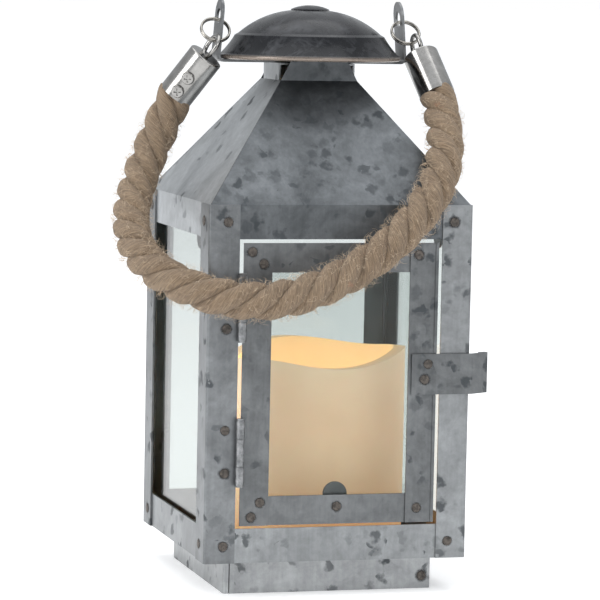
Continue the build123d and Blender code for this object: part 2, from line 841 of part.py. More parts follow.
with BuildPart() as candle_switch:
    with BuildSketch(Plane.XY.offset(floor_z + 2 * slack)):
        with Locations((switch_x, switch_y)):
            Rectangle(switch_l, switch_w)
    extrude(amount=box_floor)
    with BuildSketch(Plane.XY.offset(floor_z + box_floor + slack / 2)):
        with Locations((switch_x, switch_y)):
            Rectangle(switch_l + switch_travel + 3.0, switch_w + 2.5)
    extrude(amount=1.2)
keep(candle_switch, "candle_switch")

# ---- handle -------------------------------------------------------------------------
mouths = {}
ring_normal = (0, cos(radians(ring_lean)), -sin(radians(ring_lean)))
for side in ("left", "right"):
    ring_centre = hang[side]["ring"]
    eye_centre, eye_normal = hang[side]["eye"]
    down = Vector(*hang[side]["down"]).normalized()
    eye_plane = Plane(origin=eye_centre, z_dir=eye_normal)
    top = Vector(*hang[side]["top"])
    top_plane = Plane(origin=top, z_dir=down)
    mouths[side] = top_plane.offset(ferrule_len)

    # A split ring is two turns of wire, pressed flat on each other.
    with BuildPart() as split_ring:
        for turn in (-0.45, 0.45):
            seat = Plane(origin=ring_centre, z_dir=ring_normal).offset(turn * ring_wire)
            with Locations(seat):
                Torus(ring_r, ring_wire / 2)
    keep(split_ring, f"ring_{side}")

    with BuildPart() as eye:
        with Locations(eye_plane):
            Torus(eye_r, eye_wire / 2)
    keep(eye, f"eye_{side}")

    with BuildPart() as ferrule:
        with BuildSketch(top_plane):
            Circle(ferrule_r)
        extrude(amount=ferrule_len)
        rim = ferrule.edges().filter_by(GeomType.CIRCLE).sort_by_distance(top)[0]
        fillet(rim, ferrule_wall)
        with BuildSketch(top_plane.offset(ferrule_cap)):
            Circle(ferrule_r - ferrule_wall)
        extrude(amount=ferrule_len, mode=Mode.SUBTRACT)
        with Locations(eye_plane):
            Torus(eye_r, eye_wire / 2 + slack / 2, mode=Mode.SUBTRACT)
        for depth in screw_depths:
            with BuildSketch(screw_plane(top, down, side, depth)):
                Circle(screw_shank_r + slack / 2)
            extrude(amount=-ferrule_r, mode=Mode.SUBTRACT)
    keep(ferrule, f"ferrule_{side}")

    with BuildPart() as screws:
        for depth in screw_depths:
            seat = screw_plane(top, down, side, depth)
            with BuildSketch(seat.offset(slack / 2)):
                Circle(screw_r)
            extrude(amount=screw_h, taper=12)
            crown = seat.offset(2 * screw_h).origin
            rim = screws.edges().filter_by(GeomType.CIRCLE).sort_by_distance(crown)[0]
            fillet(rim, screw_round)
            with BuildSketch(seat.offset(slack / 2)):
                Circle(screw_shank_r)
            extrude(amount=-screw_len)
            with BuildSketch(seat.offset(screw_h + slack)):
                Rectangle(screw_slot_l, screw_slot_w)
                Rectangle(screw_slot_w, screw_slot_l)
            extrude(amount=-screw_h * 0.75, mode=Mode.SUBTRACT)
    keep(screws, f"ferrule_screws_{side}")

# The rope's tube meets the ferrules at their mouths, and its ends go on inside them.
runs = [Vector(*b) - Vector(*a) for a, b in zip(rope_points, rope_points[1:])]
radii = []
for before, after in zip(runs, runs[1:]):
    turn = radians(before.get_angle(after))
    radii.append(0.45 * min(before.length, after.length) / tan(turn / 2))
print("rope radii", [round(r) for r in radii])

with BuildPart() as rope:
    with BuildLine() as route:
        FilletPolyline(*rope_points, radius=radii)
    middle = route.wire()
    with BuildSketch(Plane(origin=middle @ 0, z_dir=middle % 0)):
        Circle(rope_r)
    sweep(path=middle)
    tube_share = rope.part.volume / (pi * rope_r**2 * middle.length)
    print("rope length", round(middle.length, 1), "volume share", round(tube_share, 4))
    for mouth in mouths.values():
        with BuildSketch(mouth.offset(slack / 2)):
            Circle(2 * rope_r)
        extrude(amount=-rope_r, mode=Mode.SUBTRACT)
        with BuildSketch(mouth.offset(2 * slack)):
            Circle(rope_core_r)
        extrude(amount=-rope_core_len)
keep(rope, "rope")
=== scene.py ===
from math import cos, pi, radians, sin
from random import Random

import bmesh
import bpy
from mathutils import Matrix, Vector


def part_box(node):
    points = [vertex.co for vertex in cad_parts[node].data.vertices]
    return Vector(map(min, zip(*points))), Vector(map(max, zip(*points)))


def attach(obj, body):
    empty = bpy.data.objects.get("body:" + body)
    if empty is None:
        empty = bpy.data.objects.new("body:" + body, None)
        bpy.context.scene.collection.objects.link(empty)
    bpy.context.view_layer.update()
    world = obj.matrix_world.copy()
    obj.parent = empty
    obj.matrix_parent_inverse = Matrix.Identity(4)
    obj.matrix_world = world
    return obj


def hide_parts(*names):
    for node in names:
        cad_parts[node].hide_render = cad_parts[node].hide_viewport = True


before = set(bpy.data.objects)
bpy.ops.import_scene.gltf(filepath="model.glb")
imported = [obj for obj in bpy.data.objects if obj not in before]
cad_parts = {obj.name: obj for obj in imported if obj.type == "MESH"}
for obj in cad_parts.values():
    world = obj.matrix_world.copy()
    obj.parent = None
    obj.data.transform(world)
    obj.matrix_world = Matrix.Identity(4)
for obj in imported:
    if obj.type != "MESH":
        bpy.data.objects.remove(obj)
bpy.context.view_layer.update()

# Looks of a galvanised candle lantern. Metres, +Z up, the door faces -Y.

# ---- camera -------------------------------------------------------------------------
view_turn = radians(-15.54)
view_lift = radians(5.38)
view_roll = radians(1.15)
view_distance = 1.381
aim = Vector((-0.0017, 0.0005, 0.1149))

toward = Vector(
    (sin(view_turn) * cos(view_lift), -cos(view_turn) * cos(view_lift), sin(view_lift))
)
level = Vector((cos(view_turn), sin(view_turn), 0))
upright = toward.cross(level)
camera_data = bpy.data.cameras.new("camera")
camera_data.lens = 198.5
camera_data.clip_end = 50
camera = bpy.data.objects.new("camera", camera_data)
axes = Matrix((level, upright, toward)).transposed()
camera.matrix_world = Matrix.Translation(aim + toward * view_distance) @ (
    axes @ Matrix.Rotation(view_roll, 3, "Z")
).to_4x4()
bpy.context.collection.objects.link(camera)
bpy.context.scene.camera = camera

# ---- rope ---------------------------------------------------------------------------
rope_step = 0.0008  # between the rings that a strand is skinned over
strand_count = 3
strand_sides = 26
strand_pitch = 0.036
strand_offset = 0.0036  # middle of a strand from the middle of the rope
strand_out = 0.0040  # half a strand's size, away from the rope's middle
strand_along = 0.0047  # half its size round the rope
rope_route = [
    (-0.0558, -0.0003, 0.2015),
    (-0.0614, 0.0024, 0.1880),
    (-0.0682, -0.0008, 0.1740),
    (-0.0744, -0.0086, 0.1622),
    (-0.0792, -0.0198, 0.1524),
    (-0.0814, -0.0330, 0.1440),
    (-0.0796, -0.0464, 0.1362),
    (-0.0730, -0.0586, 0.1298),
    (-0.0620, -0.0678, 0.1250),
    (-0.0486, -0.0724, 0.1220),
    (-0.0344, -0.0736, 0.1216),
    (-0.0204, -0.0734, 0.1242),
    (-0.0068, -0.0730, 0.1296),
    (0.0066, -0.0724, 0.1370),
    (0.0186, -0.0706, 0.1460),
    (0.0290, -0.0670, 0.1558),
    (0.0376, -0.0608, 0.1662),
    (0.0438, -0.0512, 0.1772),
    (0.0478, -0.0366, 0.1900),
    (0.0491, -0.0210, 0.2028),
]


def link(name, mesh):
    """A new object of that mesh in the scene."""
    thing = bpy.data.objects.new(name, mesh)
    bpy.context.collection.objects.link(thing)
    return thing


def nurbs_line(name, points):
    """The smooth line that the route's points control."""
    line = bpy.data.curves.new(name, "CURVE")
    line.dimensions = "3D"
    line.resolution_u = 24
    spline = line.splines.new("NURBS")
    spline.points.add(len(points) - 1)
    for point, place in zip(spline.points, points):
        point.co = (*place, 1)
    spline.order_u = 3
    spline.use_endpoint_u = True
    return link(name, line)


def points_along(line, step):
    """Even points along a curve object's own line, with the distance of each."""
    drawn = bpy.data.meshes.new_from_object(line)
    raw = [v.co.copy() for v in drawn.vertices]
    bpy.data.meshes.remove(drawn)
    reach = [0.0]
    for a, b in zip(raw, raw[1:]):
        reach.append(reach[-1] + (b - a).length)
    count = int(reach[-1] / step)
    out, at = [], 0
    for i in range(count + 1):
        want = reach[-1] * i / count
        while at < len(raw) - 2 and reach[at + 1] < want:
            at += 1
        share = (want - reach[at]) / (reach[at + 1] - reach[at])
        out.append((raw[at].lerp(raw[at + 1], share), want))
    return out


def frames_along(points):
    """Direction and two crosswise axes at each point, carried along without twist."""
    out = []
    side = Vector((0, 0, 1))
    for i, (place, _) in enumerate(points):
        before = points[max(i - 1, 0)][0]
        after = points[min(i + 1, len(points) - 1)][0]
        ahead = (after - before).normalized()
        side = (side - ahead * side.dot(ahead)).normalized()
        out.append((ahead, side, ahead.cross(side)))
    return out


def tube(rings):
    """A closed mesh skinned over rings of points, with u along the rings and v round each."""
    mesh = bmesh.new()
    rows = [[mesh.verts.new(p) for p in ring] for ring in rings]
    turn = len(rings[0])
    uv = mesh.loops.layers.uv.new("along")
    for i, (low, high) in enumerate(zip(rows, rows[1:])):
        for j in range(turn):
            k = (j + 1) % turn
            face = mesh.faces.new((low[j], low[k], high[k], high[j]))
            face.smooth = True
            corners = ((i, j), (i, j + 1), (i + 1, j + 1), (i + 1, j))
            for loop, (ring, step) in zip(face.loops, corners):
                loop[uv].uv = (ring / (len(rings) - 1), step / turn)
    mesh.faces.new(list(reversed(rows[0])))
    mesh.faces.new(rows[-1])
    return mesh


rope_line = nurbs_line("rope_line", rope_route)
rope_places = points_along(rope_line, rope_step)
rope_axes = frames_along(rope_places)
bpy.data.objects.remove(rope_line)


def strand_swell(reach, strand):
    """How much thicker or thinner a strand is at that distance along the rope."""
    return 1 + 0.03 * sin(reach * 410 + strand * 2.1) + 0.02 * sin(reach * 1130 + strand)


def strand_rings(strand):
    """The oval rings of one twisted strand, in order along the rope."""
    rings = []
    for (place, reach), (ahead, side, over) in zip(rope_places, rope_axes):
        turn = -2 * pi * reach / strand_pitch + 2 * pi * strand / strand_count
        away = cos(turn) * side + sin(turn) * over
        around = ahead.cross(away)
        swell = strand_swell(reach, strand)
        middle = place + strand_offset * away
        ring = []
        for j in range(strand_sides):
            angle = 2 * pi * j / strand_sides
            out = away * (strand_out * swell * cos(angle))
            ring.append(middle + out + around * (strand_along * swell * sin(angle)))
        rings.append(ring)
    return rings


joined = bmesh.new()
joined.loops.layers.uv.new("along")
for strand in range(strand_count):
    part = tube(strand_rings(strand))
    part_mesh = bpy.data.meshes.new("strand")
    part.to_mesh(part_mesh)
    part.free()
    joined.from_mesh(part_mesh)
    bpy.data.meshes.remove(part_mesh)
rope_mesh = bpy.data.meshes.new("rope_strands")
joined.to_mesh(rope_mesh)
joined.free()
rope = link("rope_strands", rope_mesh)
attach(rope, "handle")
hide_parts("rope")

# ---- shader building blocks ---------------------------------------------------------


class Nodes:
    """Short calls for laying out one node tree."""

    def __init__(self, tree):
        self.tree = tree

    def add(self, kind, **values):
        node = self.tree.nodes.new(kind)
        for name, value in values.items():
            setattr(node, name, value)
        return node

    def join(self, output, socket):
        self.tree.links.new(output, socket)

    def feed(self, value, socket):
        """Set a socket to a number or a colour, or join an output to it."""
        if isinstance(value, (int, float)):
            socket.default_value = value
        elif isinstance(value, tuple):
            socket.default_value = (*value, 1)
        else:
            self.join(value, socket)

    def noise(self, vector, scale, detail=4.0, roughness=0.55, distortion=0.0):
        node = self.add("ShaderNodeTexNoise")
        self.feed(scale, node.inputs["Scale"])
        self.feed(detail, node.inputs["Detail"])
        self.feed(roughness, node.inputs["Roughness"])
        self.feed(distortion, node.inputs["Distortion"])
        self.join(vector, node.inputs["Vector"])
        return node.outputs["Fac"]

    def ramp(self, value, stops, smooth=False):
        node = self.add("ShaderNodeValToRGB")
        if smooth:
            node.color_ramp.interpolation = "EASE"
        bar = node.color_ramp.elements
        while len(bar) < len(stops):
            bar.new(0.5)
        for element, (place, tone) in zip(bar, stops):
            element.position = place
            element.color = (*tone, 1) if isinstance(tone, tuple) else (tone, tone, tone, 1)
        self.join(value, node.inputs["Fac"])
        return node.outputs["Color"]

    def mix(self, share, low, high, blend="MIX"):
        node = self.add("ShaderNodeMix", data_type="RGBA", blend_type=blend)
        self.feed(share, node.inputs[0])
        self.feed(low, node.inputs[6])
        self.feed(high, node.inputs[7])
        return node.outputs[2]

    def math(self, operation, *values):
        node = self.add("ShaderNodeMath", operation=operation)
        for value, socket in zip(values, node.inputs):
            self.feed(value, socket)
        return node.outputs[0]

    def split(self, vector):
        node = self.add("ShaderNodeSeparateXYZ")
        self.join(vector, node.inputs[0])
        return node.outputs

    def pair(self, x, y):
        node = self.add("ShaderNodeCombineXYZ")
        self.join(x, node.inputs[0])
        self.join(y, node.inputs[1])
        return node.outputs[0]

    def scaled(self, vector, scale):
        node = self.add("ShaderNodeMapping")
        node.inputs["Scale"].default_value = scale
        self.join(vector, node.inputs["Vector"])
        return node.outputs["Vector"]

    def size_of(self, vector):
        node = self.add("ShaderNodeVectorMath", operation="LENGTH")
        self.join(vector, node.inputs[0])
        return node.outputs["Value"]

    def place(self):
        return self.add("ShaderNodeTexCoord").outputs["Object"]

    def height_share(self, foot, per_metre):
        """0 at the height of the foot, growing by that much a metre."""
        height = self.split(self.place())[2]
        return self.math("MULTIPLY", self.math("SUBTRACT", height, foot), per_metre)


def group(name, inputs, outputs):
    """An empty shader group with those named inputs and outputs."""
    tree = bpy.data.node_groups.new(name, "ShaderNodeTree")
    for label, kind, value in inputs:
        socket = tree.interface.new_socket(label, in_out="INPUT", socket_type=kind)
        socket.default_value = value
    for label, kind in outputs:
        tree.interface.new_socket(label, in_out="OUTPUT", socket_type=kind)
    nodes = Nodes(tree)
    return tree, nodes, nodes.add("NodeGroupInput").outputs, nodes.add("NodeGroupOutput").inputs


COLOUR, NUMBER = "NodeSocketColor", "NodeSocketFloat"


def zinc_spangle():
    """Galvanised skin: cloudy zinc, darker angular patches and fine rubbed streaks."""
    tree, nodes, given, result = group(
        "zinc_spangle",
        [
            ("Light", COLOUR, (0.34, 0.36, 0.37, 1)),
            ("Dark", COLOUR, (0.17, 0.185, 0.195, 1)),
            ("Patches", NUMBER, 0.1),
            ("Seed", NUMBER, 0.0),
        ],
        [("Color", COLOUR), ("Roughness", NUMBER), ("Height", NUMBER)],
    )
    shift = nodes.add("ShaderNodeVectorMath", operation="ADD")
    nodes.join(nodes.place(), shift.inputs[0])
    nodes.join(given["Seed"], shift.inputs[1])
    spot = shift.outputs[0]
    cloud = nodes.noise(spot, 42, 6, 0.62, 0.6)
    fine = nodes.noise(spot, 260, 5, 0.7, 0.3)
    clouded = nodes.mix(nodes.ramp(cloud, ((0.36, 0.0), (0.64, 1.0))), given["Dark"], given["Light"])
    grainy = nodes.ramp(fine, ((0.34, 0.58), (0.68, 1.0)))
    speckled = nodes.mix(0.55, clouded, grainy, "MULTIPLY")

    # angular patches: cells of a bent pattern, gathered where a wide noise is high
    bend = nodes.add("ShaderNodeTexNoise")
    bend.inputs["Scale"].default_value = 220
    bend.inputs["Detail"].default_value = 3
    nodes.join(spot, bend.inputs["Vector"])
    warp = nodes.add("ShaderNodeVectorMath", operation="MULTIPLY_ADD")
    nodes.join(bend.outputs["Color"], warp.inputs[0])
    warp.inputs[1].default_value = (0.009, 0.009, 0.009)
    nodes.join(spot, warp.inputs[2])
    cells = nodes.add("ShaderNodeTexVoronoi")
    cells.inputs["Scale"].default_value = 185
    nodes.join(warp.outputs[0], cells.inputs["Vector"])
    chance = nodes.add("ShaderNodeSeparateColor")
    nodes.join(cells.outputs["Color"], chance.inputs[0])
    gather = nodes.math("POWER", nodes.noise(spot, 34, 2, 0.5), 4.0)
    odds = nodes.math("MULTIPLY", gather, nodes.math("MULTIPLY", given["Patches"], 6.0))
    chosen = nodes.math("LESS_THAN", chance.outputs[0], odds)
    fade = nodes.ramp(cells.outputs["Distance"], ((0.30, 1.0), (0.55, 0.0)))
    depth = nodes.math("ADD", chance.outputs[1], 0.25)
    patch = nodes.math("MULTIPLY", nodes.math("MULTIPLY", chosen, fade), depth)
    tinted = nodes.mix(nodes.math("MULTIPLY", patch, 0.7), speckled, (0.055, 0.062, 0.068))

    streak = nodes.noise(nodes.scaled(spot, (900, 900, 60)), 1, 2, 0.5)
    rubbed = nodes.mix(0.22, tinted, nodes.ramp(streak, ((0.35, 0.6), (0.7, 1.0))), "MULTIPLY")
    nodes.join(rubbed, result["Color"])
    dull = nodes.math("MULTIPLY_ADD", fine, 0.22, 0.30)
    nodes.join(nodes.math("ADD", dull, nodes.math("MULTIPLY", patch, 0.12)), result["Roughness"])
    nodes.join(nodes.math("MULTIPLY_ADD", cloud, 0.6, fine), result["Height"])
    return tree


def fine_haze():
    """Plain fine noise, shared by the smaller metals, the plastics and the loose fibres."""
    tree, nodes, given, result = group(
        "fine_haze",
        [("Scale", NUMBER, 500.0), ("Detail", NUMBER, 4.0), ("Breakup", NUMBER, 0.6)],
        [("Amount", NUMBER)],
    )
    haze = nodes.noise(nodes.place(), given["Scale"], given["Detail"], given["Breakup"])
    nodes.join(haze, result["Amount"])
    return tree


spangle_group = zinc_spangle()
haze_group = fine_haze()


def material(name, **plain):
    """A material with a Principled shader and its plain values set."""
    made = bpy.data.materials.new(name)
    made.use_nodes = True
    nodes = Nodes(made.node_tree)
    shader = made.node_tree.nodes["Principled BSDF"]
    for label, value in plain.items():
        socket = shader.inputs[label.replace("_", " ")]
        socket.default_value = (*value, 1) if socket.type == "RGBA" else value
    return made, nodes, shader


def bump(nodes, shader, height, strength, distance):
    """Surface relief from a height."""
    node = nodes.add("ShaderNodeBump")
    node.inputs["Strength"].default_value = strength
    node.inputs["Distance"].default_value = distance
    nodes.join(height, node.inputs["Height"])
    nodes.join(node.outputs["Normal"], shader.inputs["Normal"])


def zinc(name, light, dark, patches, seed):
    """Galvanised sheet with its own share of dark patches; its light and dark tones are set per part as
    painted light and shade.
    """
    made, nodes, shader = material(name, Metallic=0.82)
    skin = nodes.add("ShaderNodeGroup", node_tree=spangle_group)
    skin.inputs["Light"].default_value = (*light, 1)
    skin.inputs["Dark"].default_value = (*dark, 1)
    skin.inputs["Patches"].default_value = patches
    skin.inputs["Seed"].default_value = seed
    nodes.join(skin.outputs["Color"], shader.inputs["Base Color"])
    nodes.join(skin.outputs["Roughness"], shader.inputs["Roughness"])
    bump(nodes, shader, skin.outputs["Height"], 0.12, 0.0004)
    return made


def hazed(name, grain, colours, dullness, relief=None, **plain):
    """A finish that varies between two colours and two roughnesses with one fine haze."""
    made, nodes, shader = material(name, **plain)
    haze = nodes.add("ShaderNodeGroup", node_tree=haze_group)
    for socket, value in zip(haze.inputs, grain):
        socket.default_value = value
    amount = haze.outputs["Amount"]
    nodes.join(nodes.ramp(amount, colours), shader.inputs["Base Color"])
    nodes.join(nodes.ramp(amount, dullness), shader.inputs["Roughness"])
    if relief:
        bump(nodes, shader, amount, *relief)
    return made


def moulded(name, low, high):
    """Moulded plastic or lacquer in two close tones, with a fine skin."""
    dullness = ((0.3, 0.38), (0.7, 0.55))
    return hazed(name, (500, 4, 0.6), ((0.3, low), (0.7, high)), dullness, (0.12, 0.0001))


# ---- finishes -----------------------------------------------------------------------
# Copies of the one galvanised sheet. Each is made lighter or darker as painted light and shade for how
# that part is lit, and the share of patches is the sheet's own.
zinc_roof_painted_shading = zinc("zinc_roof_painted_shading", (0.191, 0.204, 0.215), (0.101, 0.109, 0.115), 1.0, 0.0)
zinc_side_painted_shading = zinc("zinc_side_painted_shading", (0.52, 0.54, 0.555), (0.36, 0.375, 0.385), 0.35, 0.31)
zinc_post_painted_shading = zinc("zinc_post_painted_shading", (0.268, 0.28, 0.288), (0.16, 0.168, 0.174), 0.5, 0.57)
zinc_door_painted_shading = zinc("zinc_door_painted_shading", (0.216, 0.225, 0.23), (0.137, 0.143, 0.147), 0.55, 0.83)
zinc_base_painted_shading = zinc("zinc_base_painted_shading", (0.359, 0.374, 0.382), (0.242, 0.251, 0.257), 0.5, 1.19)
zinc_plinth_painted_shading = zinc("zinc_plinth_painted_shading", (0.49, 0.503, 0.51), (0.354, 0.364, 0.371), 0.5, 1.87)
zinc_strap_painted_shading = zinc("zinc_strap_painted_shading", (0.26, 0.265, 0.27), (0.15, 0.155, 0.16), 0.1, 1.57)



def cap_gunmetal():
    """Dark cap: glossy near-black with belts of cloudy grey and a brown rim."""
    made, nodes, shader = material(
        "cap_gunmetal", Metallic=0.5, Specular_IOR_Level=0.22, Coat_Weight=0.10, Coat_Roughness=0.1
    )
    clouds = nodes.noise(nodes.place(), 85, 6, 0.68, 1.2)
    grain = nodes.noise(nodes.place(), 330, 4, 0.6, 0.4)
    both = nodes.math("MULTIPLY_ADD", grain, 0.35, nodes.math("MULTIPLY", clouds, 0.75))
    belts = ((0.0, 0.35), (0.16, 1.0), (0.34, 0.75), (0.44, 0.25), (0.58, 1.0), (0.74, 0.35), (0.86, 0.0))
    belt = nodes.ramp(nodes.height_share(0.2155, 45.0), belts)
    clouded = nodes.ramp(both, ((0.54, 0.0), (0.70, 1.0)))
    mottle = nodes.mix(clouded, (0.012, 0.013, 0.015), (0.05, 0.052, 0.057))
    skin = nodes.mix(belt, (0.014, 0.015, 0.018), mottle)
    rim = nodes.ramp(nodes.height_share(0.2145, 100.0), ((0.0, 1.0), (0.16, 1.0), (0.26, 0.0)))
    nodes.join(nodes.mix(rim, skin, (0.24, 0.20, 0.17)), shader.inputs["Base Color"])
    nodes.join(nodes.ramp(both, ((0.45, 0.16), (0.68, 0.42))), shader.inputs["Roughness"])
    bump(nodes, shader, both, 0.10, 0.0005)
    return made


def bright_nickel():
    """Polished ferrules and eyes with a faint haze and brushed grain."""
    made, nodes, shader = material("bright_nickel", Metallic=1.0)
    haze = nodes.noise(nodes.place(), 120, 4, 0.6)
    brushed = nodes.noise(nodes.place(), 1400, 2, 0.5)
    tones = ((0.3, (0.22, 0.215, 0.205)), (0.7, (0.38, 0.372, 0.36)))
    nodes.join(nodes.ramp(haze, tones), shader.inputs["Base Color"])
    nodes.join(nodes.ramp(brushed, ((0.3, 0.12), (0.75, 0.24))), shader.inputs["Roughness"])
    bump(nodes, shader, haze, 0.05, 0.0004)
    return made


def window_glass():
    """Clear grey glass with smeared patches."""
    made, nodes, shader = material(
        "window_glass",
        Base_Color=(0.64, 0.675, 0.66),
        Transmission_Weight=1.0,
        IOR=1.3,
        Metallic=0.0,
    )
    smear = nodes.noise(nodes.place(), 55, 5, 0.6, 0.8)
    nodes.join(nodes.ramp(smear, ((0.4, 0.0), (0.85, 0.07))), shader.inputs["Roughness"])
    return made


def candle_wax_painted_glow():
    """Wax: cream body with a painted glow of the flame's light that grows towards its top, and a brighter
    painted glow in its cup.
    """
    made, nodes, shader = material(
        "candle_wax_painted_glow",
        Subsurface_Weight=0.35,
        Subsurface_Radius=(0.012, 0.006, 0.003),
        Subsurface_Scale=0.6,
        IOR=1.44,
        Emission_Strength=1.0,
    )
    mottled = nodes.noise(nodes.place(), 38, 4, 0.55)
    cream = ((0.3, (0.80, 0.63, 0.42)), (0.7, (0.90, 0.76, 0.55)))
    nodes.join(nodes.ramp(mottled, cream), shader.inputs["Base Color"])
    nodes.join(nodes.ramp(mottled, ((0.3, 0.42), (0.7, 0.6))), shader.inputs["Roughness"])

    # distance from the candle's own upright axis
    low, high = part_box("candle_shell")
    middle = (Vector(low) + Vector(high)) / 2
    offset = nodes.add("ShaderNodeVectorMath", operation="SUBTRACT")
    nodes.join(nodes.place(), offset.inputs[0])
    offset.inputs[1].default_value = (middle.x, middle.y, 0)
    level = nodes.add("ShaderNodeVectorMath", operation="MULTIPLY")
    nodes.join(offset.outputs[0], level.inputs[0])
    level.inputs[1].default_value = (1, 1, 0)
    reach = nodes.math("MULTIPLY", nodes.size_of(level.outputs[0]), 26.0)
    # Painted glow: emission that is brightest inside the cup and rises towards the top, standing in for
    # the flame's light on the wax.
    painted_cup_glow_mask = nodes.ramp(reach, ((0.86, 1.0), (0.955, 0.0)))
    glow = ((0.0, (0.40, 0.18, 0.06)), (0.3, (0.48, 0.28, 0.14)), (0.95, (0.60, 0.44, 0.29)))
    painted_glow_by_height = nodes.ramp(nodes.height_share(0.015, 12.0), glow)
    nodes.join(nodes.mix(painted_cup_glow_mask, painted_glow_by_height, (0.66, 0.45, 0.22)), shader.inputs["Emission Color"])
    bump(nodes, shader, mottled, 0.15, 0.0012)
    return made


def flame_plastic():
    """Frosted flame, deeper amber at its foot."""
    made, nodes, shader = material("flame_plastic", Emission_Strength=2.2, Subsurface_Weight=0.3)
    up = nodes.height_share(0.058, 45.0)
    light = ((0.0, (0.9, 0.45, 0.12)), (1.0, (1.0, 0.86, 0.55)))
    nodes.join(nodes.ramp(up, light), shader.inputs["Emission Color"])
    body = ((0.0, (0.9, 0.7, 0.5)), (1.0, (0.98, 0.92, 0.8)))
    nodes.join(nodes.ramp(up, body), shader.inputs["Base Color"])
    frost = nodes.noise(nodes.place(), 400, 3, 0.5)
    nodes.join(nodes.ramp(frost, ((0.3, 0.35), (0.7, 0.5))), shader.inputs["Roughness"])
    return made


def jute_strand():
    """Twisted fibre: streaks slant along each strand, on its length u and its turn v."""
    made, nodes, shader = material("jute_strand", Sheen_Weight=0.1, Sheen_Roughness=0.6)
    length, turn, _ = nodes.split(nodes.add("ShaderNodeUVMap", uv_map="along").outputs["UV"])
    slant = nodes.math("MULTIPLY_ADD", length, 14.0, turn)

    def streaks(along, across):
        """Coordinates stretched along the slanted fibres."""
        return nodes.pair(nodes.math("MULTIPLY", length, along), nodes.math("MULTIPLY", slant, across))

    fibres = nodes.noise(streaks(130.0, 75.0), 1.0, 6, 0.72, 0.25)
    yarns = nodes.noise(streaks(40.0, 20.0), 1.0, 4, 0.6, 0.2)
    tone = nodes.noise(nodes.place(), 75, 4, 0.6)
    rust = nodes.noise(nodes.place(), 170, 3, 0.6)
    straw = nodes.ramp(
        fibres,
        (
            (0.30, (0.07, 0.043, 0.024)),
            (0.44, (0.23, 0.155, 0.092)),
            (0.57, (0.44, 0.32, 0.205)),
            (0.70, (0.70, 0.54, 0.37)),
        ),
    )
    shaded = nodes.mix(0.7, straw, nodes.ramp(yarns, ((0.32, 0.5), (0.62, 1.0))), "MULTIPLY")
    faded = nodes.ramp(tone, ((0.3, (0.72, 0.66, 0.6)), (0.7, (1.0, 1.0, 1.0))))
    varied = nodes.mix(0.4, shaded, faded, "MULTIPLY")
    flecked = nodes.mix(nodes.ramp(rust, ((0.68, 0.0), (0.76, 0.55))), varied, (0.36, 0.17, 0.09))
    nodes.join(flecked, shader.inputs["Base Color"])
    nodes.join(nodes.ramp(fibres, ((0.3, 0.95), (0.7, 0.8))), shader.inputs["Roughness"])
    bump(nodes, shader, nodes.math("MULTIPLY_ADD", yarns, 1.2, fibres), 0.9, 0.0011)
    return made


def weld_scorch():
    """Heat mark: a ring of burnt zinc that fades out, on the disc's own UV."""
    made, nodes, shader = material("weld_scorch", Metallic=0.5)
    out = nodes.size_of(nodes.add("ShaderNodeUVMap", uv_map="disc").outputs["UV"])
    ragged = nodes.noise(nodes.place(), 650, 3, 0.6)
    wander = nodes.math("MULTIPLY", nodes.math("SUBTRACT", ragged, 0.5), 0.55)
    far = nodes.math("ADD", out, wander)
    burnt = ((0.45, (0.045, 0.036, 0.03)), (0.8, (0.07, 0.07, 0.073)))
    nodes.join(nodes.ramp(far, burnt), shader.inputs["Base Color"])
    nodes.join(nodes.ramp(far, ((0.52, 0.92), (0.72, 0.5), (0.96, 0.0)), True), shader.inputs["Alpha"])
    nodes.join(nodes.ramp(ragged, ((0.3, 0.5), (0.7, 0.7))), shader.inputs["Roughness"])
    return made


cap_finish = cap_gunmetal()
nickel = bright_nickel()
glass = window_glass()
wax = candle_wax_painted_glow()
flame = flame_plastic()
jute = jute_strand()
scorch = weld_scorch()

ring_wire = hazed(
    "ring_wire",
    (900, 3, 0.6),
    ((0.3, (0.20, 0.19, 0.17)), (0.7, (0.42, 0.40, 0.37))),
    ((0.3, 0.18), (0.75, 0.32)),
    Metallic=1.0,
)
spring = hazed(
    "spring_steel",
    (300, 4, 0.6),
    ((0.3, (0.10, 0.105, 0.11)), (0.7, (0.19, 0.195, 0.2))),
    ((0.3, 0.3), (0.75, 0.5)),
    Metallic=0.9,
)
hinge_zinc = hazed(
    "hinge_zinc",
    (420, 5, 0.65),
    ((0.35, (0.13, 0.135, 0.14)), (0.7, (0.36, 0.365, 0.37))),
    ((0.3, 0.28), (0.75, 0.5)),
    (0.15, 0.0002),
    Metallic=0.9,
)
weld_steel = hazed(
    "weld_steel",
    (700, 4, 0.7),
    ((0.38, (0.05, 0.045, 0.04)), (0.64, (0.15, 0.13, 0.115))),
    ((0.3, 0.4), (0.75, 0.65)),
    (0.6, 0.0005),
    Metallic=0.7,
)
contact_brass = hazed(
    "contact_brass",
    (600, 3, 0.6),
    ((0.3, (0.50, 0.40, 0.20)), (0.7, (0.66, 0.56, 0.34))),
    ((0.3, 0.25), (0.7, 0.42)),
    Metallic=1.0,
)
fluff = hazed(
    "loose_fibre",
    (400, 2, 0.5),
    ((0.3, (0.38, 0.27, 0.17)), (0.7, (0.68, 0.55, 0.40))),
    ((0.3, 0.9), (0.7, 0.7)),
    Sheen_Weight=0.3,
)
board_green = moulded("board_green", (0.03, 0.12, 0.05), (0.05, 0.19, 0.08))
box_white = moulded("box_white", (0.74, 0.73, 0.69), (0.82, 0.81, 0.77))
switch_black = moulded("switch_black", (0.015, 0.015, 0.016), (0.04, 0.04, 0.042))
cell_sleeve = moulded("cell_sleeve", (0.03, 0.05, 0.09), (0.06, 0.08, 0.13))
rope.data.materials.append(jute)

